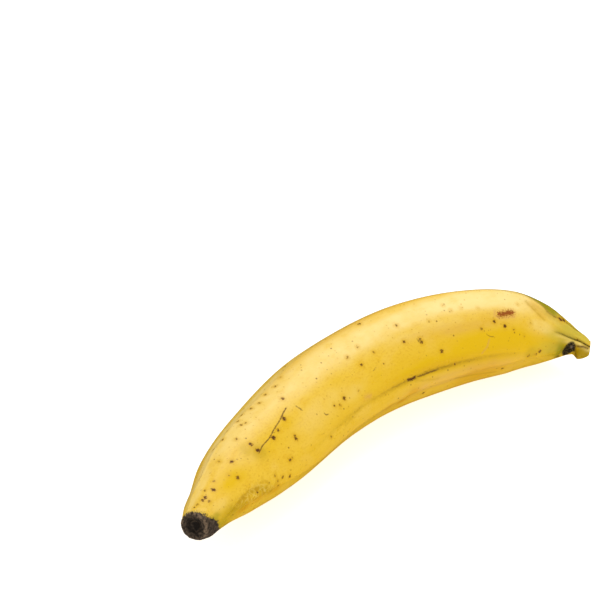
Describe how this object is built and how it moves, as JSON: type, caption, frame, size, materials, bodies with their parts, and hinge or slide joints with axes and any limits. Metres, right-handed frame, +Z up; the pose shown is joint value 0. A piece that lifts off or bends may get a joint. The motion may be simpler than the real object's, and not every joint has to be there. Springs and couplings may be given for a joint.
{
  "type": "plantain",
  "caption": "Whole ripe plantain lying on its side: a curved, softly five-sided yellow fruit with a dried blossom end and a short cut stalk.",
  "frame": {"origin": "on the surface that the fruit lies on, under the middle of its box", "axes": "+Z up, +X from the blossom end towards the cut stalk, +Y towards the back of the curve, so the hollow side faces -Y"},
  "size_m": [0.2524, 0.0868, 0.0492],
  "materials": {
    "peel": "satin waxy peel, ripe yellow with brown flecks, a black-brown blossom end and an olive stalk"
  },
  "bodies": {
    "root": {"plantain": "peel"}
  },
  "joints": []
}
